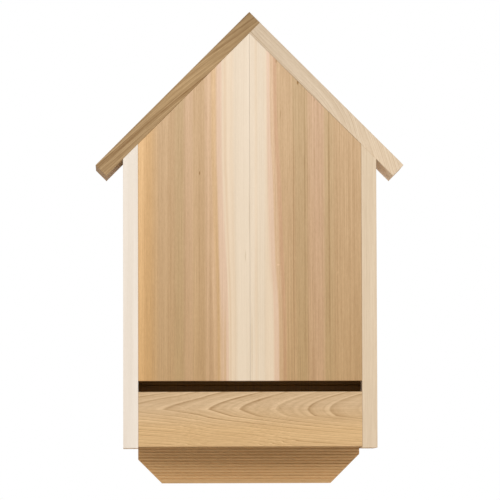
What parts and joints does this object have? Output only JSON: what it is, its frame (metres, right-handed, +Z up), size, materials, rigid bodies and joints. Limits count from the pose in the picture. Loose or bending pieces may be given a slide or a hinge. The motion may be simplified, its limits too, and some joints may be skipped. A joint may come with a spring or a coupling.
{
  "type": "bat box",
  "caption": "Wall-hung cedar bat box with a gable roof, a vent slot, a baffle between two chambers, an open foot and a scored landing board.",
  "frame": {"origin": "on the back face and the centre line, level with the lower ends of the sides", "axes": "+X to the right as seen by someone who faces the box, +Y square out of the back face into the wall, +Z up"},
  "size_m": [0.3592, 0.0825, 0.5495],
  "materials": {
    "cedar_side_left": "planed, bare",
    "cedar_side_right": "planed, bare",
    "cedar_front_left": "planed, bare",
    "cedar_front_right": "planed, bare",
    "cedar_lower_front": "planed, bare",
    "cedar_back": "planed outside, scored inside, bare",
    "cedar_landing": "scored, bare",
    "cedar_baffle": "scored, bare",
    "cedar_roof_left": "planed, bare",
    "cedar_roof_right": "planed, bare",
    "nail_steel": "hot-dip galvanised"
  },
  "bodies": {
    "root": {"left_side": "cedar_side_left", "right_side": "cedar_side_right", "front_board_left": "cedar_front_left", "front_board_right": "cedar_front_right", "lower_front_board": "cedar_lower_front", "back_board_left": "cedar_back", "back_board_right": "cedar_back", "landing_board": "cedar_landing", "baffle": "cedar_baffle", "roof_board_left": "cedar_roof_left", "roof_board_right": "cedar_roof_right", "left_front_nails": "nail_steel", "right_front_nails": "nail_steel", "left_back_nails": "nail_steel", "right_back_nails": "nail_steel", "baffle_nails": "nail_steel", "left_roof_nails": "nail_steel", "right_roof_nails": "nail_steel", "ridge_nails": "nail_steel"}
  },
  "joints": []
}
